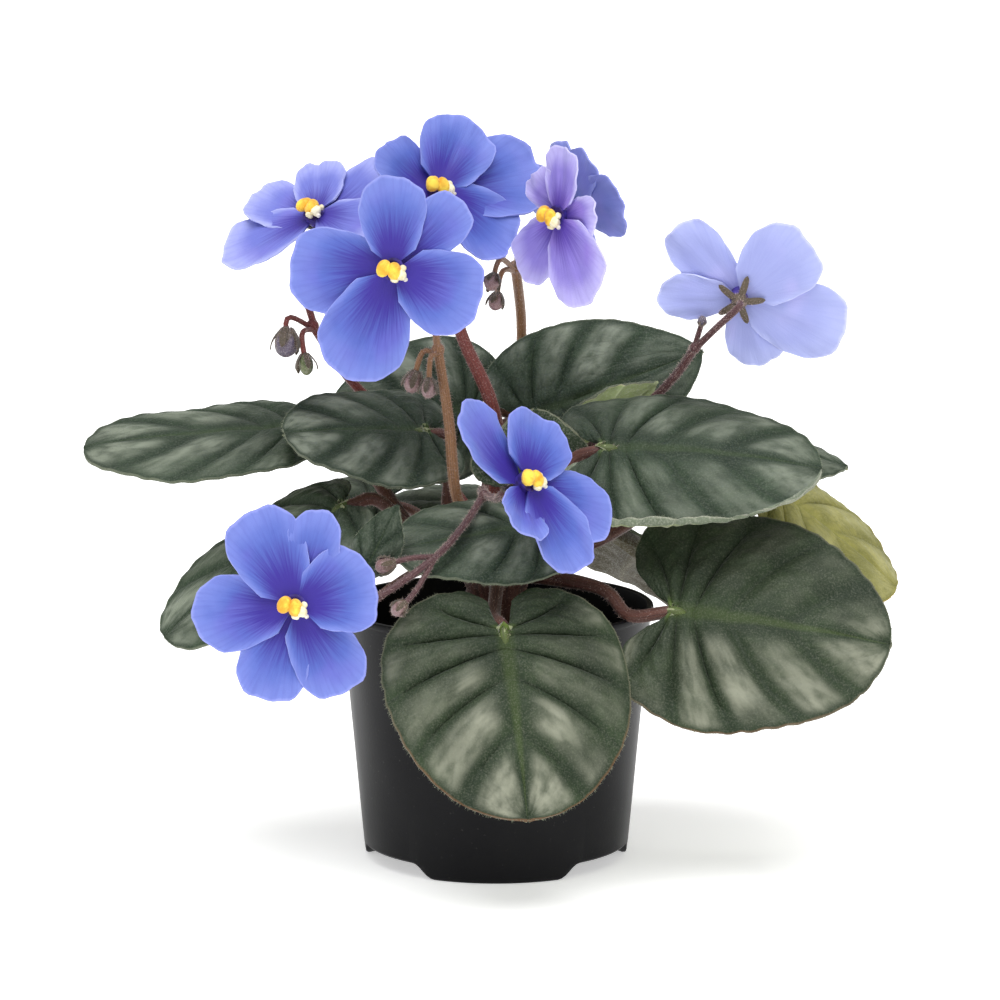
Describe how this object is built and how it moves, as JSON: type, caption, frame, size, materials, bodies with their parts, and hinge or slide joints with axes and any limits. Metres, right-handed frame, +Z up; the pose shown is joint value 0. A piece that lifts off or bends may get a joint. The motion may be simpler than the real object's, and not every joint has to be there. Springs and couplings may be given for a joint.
{
  "type": "potted african violet",
  "caption": "Small flowering houseplant: a rosette of rounded furry leaves with blue-violet blooms held above it, growing in a tapered plastic pot of soil.",
  "frame": {"origin": "on the surface that the pot stands on, under the middle of the pot", "axes": "+Z up, -Y towards the side that the picture shows, +X to the right in the picture"},
  "size_m": [0.2118, 0.1492, 0.1918],
  "materials": {
    "black_plastic": "satin black moulded plastic",
    "potting_soil": null,
    "petiole_brown": "red-brown hairy plant stem",
    "leaf_green": "dark green velvety leaf with a grey sheen",
    "young_leaf_green": "darker young leaf",
    "yellowing_leaf": "ageing olive-yellow leaf",
    "stalk_tan": "tan hairy flower stalk",
    "stalk_red": "dark red flower stalk",
    "stalk_dark": "purple-brown flower stalk",
    "petal_blue": "soft blue-violet petal",
    "petal_violet": "soft violet petal",
    "petal_pale": "pale lavender petal",
    "anther_yellow": "powdery bright yellow"
  },
  "bodies": {
    "root": {"pot": "black_plastic", "soil": "potting_soil", "crown": "petiole_brown", "leaf_front": "leaf_green", "leaf_right_low": "leaf_green", "leaf_right_high": "leaf_green", "leaf_left_long": "leaf_green", "leaf_left_mid": "leaf_green", "leaf_left_low": "leaf_green", "leaf_young_left": "leaf_green", "leaf_centre": "leaf_green", "leaf_back_right": "leaf_green", "leaf_fold_right": "leaf_green", "leaf_right_small": "leaf_green", "leaf_right_back": "yellowing_leaf", "leaf_young_centre": "young_leaf_green", "leaf_back_left": "leaf_green", "leaf_rear_left": "leaf_green", "leaf_rear_middle": "leaf_green", "leaf_rear_right": "leaf_green", "stalk_middle": "stalk_tan", "stalk_red": "stalk_red", "stalk_rear": "stalk_tan", "stalk_left": "stalk_red", "stalk_right": "stalk_dark", "stalk_front": "stalk_dark", "corolla_front": "petal_blue", "corolla_low_left": "petal_blue", "corolla_right": "petal_pale", "corolla_top_left": "petal_blue", "corolla_top": "petal_blue", "corolla_centre": "petal_blue", "corolla_top_right": "petal_violet", "corolla_top_rear": "petal_blue", "anthers_front": "anther_yellow", "anthers_low_left": "anther_yellow", "anthers_right": "anther_yellow", "anthers_top_left": "anther_yellow", "anthers_top": "anther_yellow", "anthers_centre": "anther_yellow", "anthers_top_right": "anther_yellow", "anthers_top_rear": "anther_yellow"}
  },
  "joints": []
}
